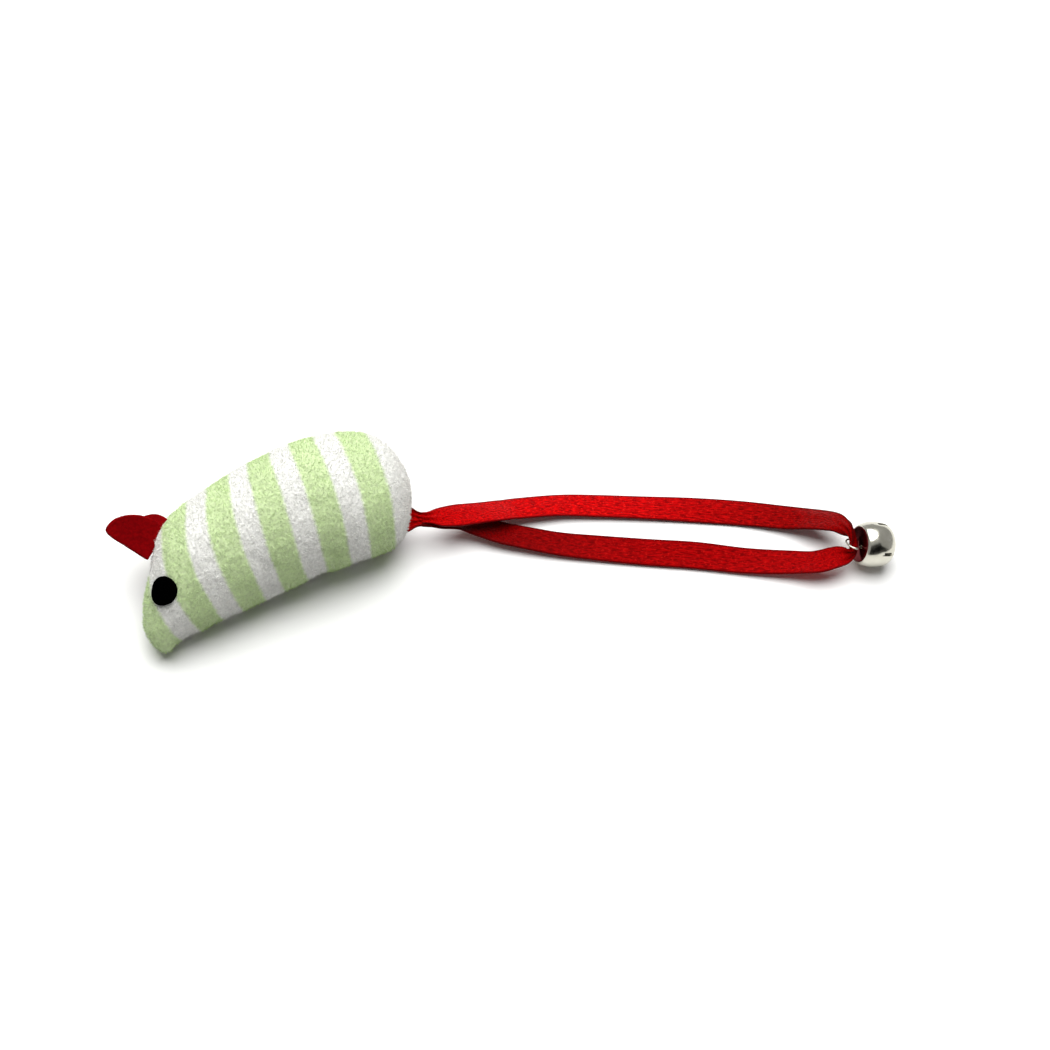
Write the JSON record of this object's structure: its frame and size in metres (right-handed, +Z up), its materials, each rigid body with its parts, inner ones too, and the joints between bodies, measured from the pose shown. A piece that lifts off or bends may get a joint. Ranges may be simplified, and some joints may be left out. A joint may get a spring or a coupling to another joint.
{
  "type": "catnip mouse",
  "caption": "Stuffed plush toy mouse with felt ears and eyes, a ribbon loop tail and a jingle bell on the end of the tail.",
  "frame": {"origin": "middle of the mouse's footprint, without its tail, on the table it lies on", "axes": "+X from the nose to the rump along the lying body, +Z up; the left flank faces up and towards -Y"},
  "size_m": [0.1554, 0.0778, 0.0277],
  "materials": {
    "plush": "short pile, pale green and white stripes",
    "fibrefill": "loose polyester fibre",
    "catnip_sachet": "thin woven sachet of dried leaf",
    "red_felt": "matt felt",
    "black_felt": "matt felt",
    "satin_ribbon": "satin weave",
    "nickel": "polished nickel plate",
    "steel": "plain"
  },
  "bodies": {
    "mouse": {"left_side_panel": "plush", "right_side_panel": "plush", "stuffing": "fibrefill", "catnip_pouch": "catnip_sachet", "left_eye": "black_felt", "right_eye": "black_felt", "tail_root": "satin_ribbon"},
    "left_ear": {"left_ear": "red_felt"},
    "right_ear": {"right_ear": "red_felt"},
    "tail": {"tail_ribbon": "satin_ribbon"},
    "bell": {"bell_shell": "nickel", "bell_shank": "nickel"},
    "pea": {"bell_pea": "steel"}
  },
  "joints": [
    {"name": "left_ear_flap", "type": "hinge", "parent": "mouse", "child": "left_ear", "pos_m": [-0.02394, 0.00368, 0.01766], "axis": [0.5936, 0.6249, 0.5071], "range_deg": [-20, 20], "stiffness_Nm_per_rad": 0.0005},
    {"name": "right_ear_flap", "type": "hinge", "parent": "mouse", "child": "right_ear", "pos_m": [-0.02241, 0.00717, 0.01507], "axis": [0.698, 0.6882, 0.1981], "range_deg": [-20, 20], "stiffness_Nm_per_rad": 0.0005},
    {"name": "tail_swing", "type": "hinge", "parent": "mouse", "child": "tail", "pos_m": [0.0318, -0.01007, 0.008], "axis": [0, 0, 1], "range_deg": [-35, 35]},
    {"name": "bell_swing", "type": "hinge", "parent": "tail", "child": "bell", "pos_m": [0.11319, -0.05694, 0.00686], "axis": [0.454, 0.891, 0], "range_deg": [-32, 8]},
    {"name": "pea_rattle", "type": "slide", "parent": "bell", "child": "pea", "axis": [0, 0, 1], "range_m": [0, 0.0053]}
  ]
}
